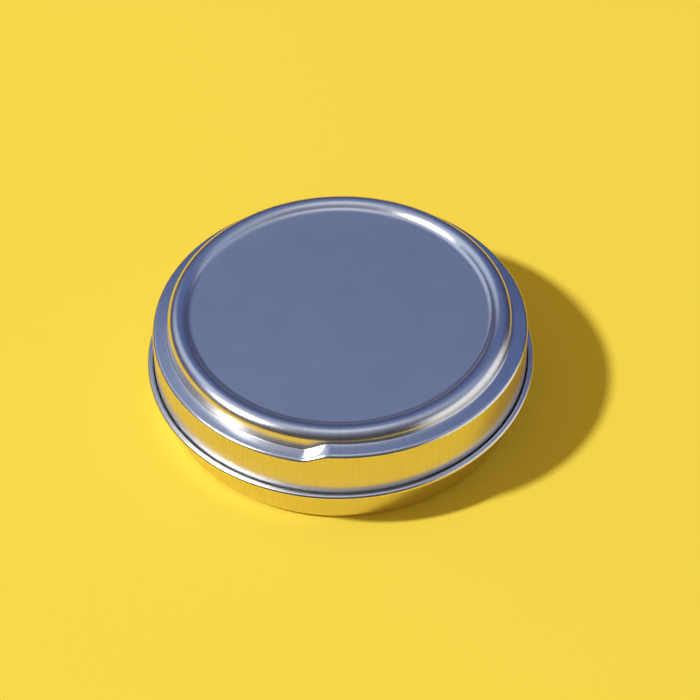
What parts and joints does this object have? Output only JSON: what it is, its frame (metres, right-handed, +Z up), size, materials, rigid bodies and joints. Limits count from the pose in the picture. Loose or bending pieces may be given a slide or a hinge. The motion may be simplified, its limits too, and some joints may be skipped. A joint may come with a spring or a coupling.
{
  "type": "round tin",
  "caption": "Low round metal tin with a deep overhanging lid that has a recessed top, a raised bead, a stepped shoulder and an outward rolled edge.",
  "frame": {"origin": "on the tin's axis, on the plane it stands on", "axes": "+Z up along the tin's axis, -Y towards the front of the picture, +X to its right"},
  "size_m": [0.0802, 0.0802, 0.0235],
  "materials": {
    "base_aluminium": "bare drawn sheet, fine upright draw lines",
    "lid_aluminium": "bare drawn sheet, satin top, glossy bead and rolled edge",
    "sealing_compound": "matte, slightly soft"
  },
  "bodies": {
    "base": {"base_shell": "base_aluminium"},
    "seal": {"lid_seal": "sealing_compound"},
    "lid": {"lid_shell": "lid_aluminium"}
  },
  "joints": [
    {"name": "lid_lift", "type": "slide", "parent": "base", "child": "seal", "axis": [0, 0, 1], "range_m": [0, 0.02]},
    {"name": "lid_turn", "type": "hinge", "parent": "seal", "child": "lid", "pos_m": [0, 0, 0.0235], "axis": [0, 0, 1], "range_deg": [0, 85]}
  ],
  "couplings": [
    {"joint": "lid_turn", "follows": "lid_lift", "rad_per_m": 74}
  ]
}
